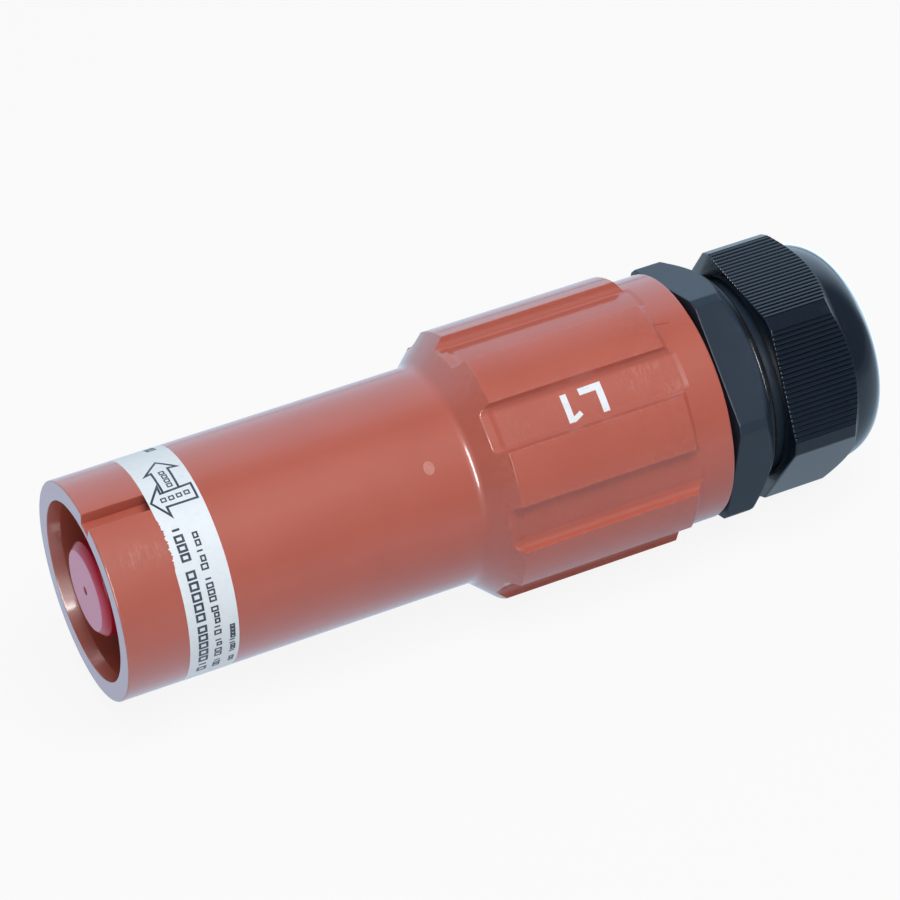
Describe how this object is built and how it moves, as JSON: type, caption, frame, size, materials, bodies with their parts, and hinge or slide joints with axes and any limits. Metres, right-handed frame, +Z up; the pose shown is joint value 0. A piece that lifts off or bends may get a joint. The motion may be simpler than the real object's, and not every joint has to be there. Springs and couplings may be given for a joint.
{
  "type": "single pole power connector",
  "caption": "Insulated single pole cable connector with a shrouded contact pin, a bayonet slot in the mating tube, a panelled grip and a domed cable gland.",
  "frame": {"origin": "centre of the mating tube's rim, on the connector's axis", "axes": "+X along the axis from the mating rim to the cable gland, +Z up, with the connector lying on the edges of the two lowest grip panels; -Y towards the side that shows the mark and the slot"},
  "size_m": [0.1866, 0.0608, 0.0608],
  "materials": {
    "shell_plastic": "satin",
    "label_foil": "satin",
    "tip_plastic": "satin",
    "silver_plate": "satin",
    "steel": "satin",
    "seal_rubber": "matte",
    "ivory_plastic": "satin",
    "gland_plastic": "satin"
  },
  "bodies": {
    "root": {"shell": "shell_plastic", "label_band": "label_foil", "contact_tip": "tip_plastic", "contact_pin": "silver_plate", "key_pin": "steel", "face_seal": "seal_rubber", "shaft_ring": "seal_rubber", "thrust_ring": "ivory_plastic", "retaining_clip": "steel", "clamp_screw_front": "steel", "clamp_screw_rear": "steel", "gland_gasket": "seal_rubber", "gland_body": "gland_plastic", "collar_ring": "seal_rubber", "clamping_cage": "gland_plastic", "sealing_insert": "seal_rubber", "dome_nut": "gland_plastic"}
  },
  "joints": []
}
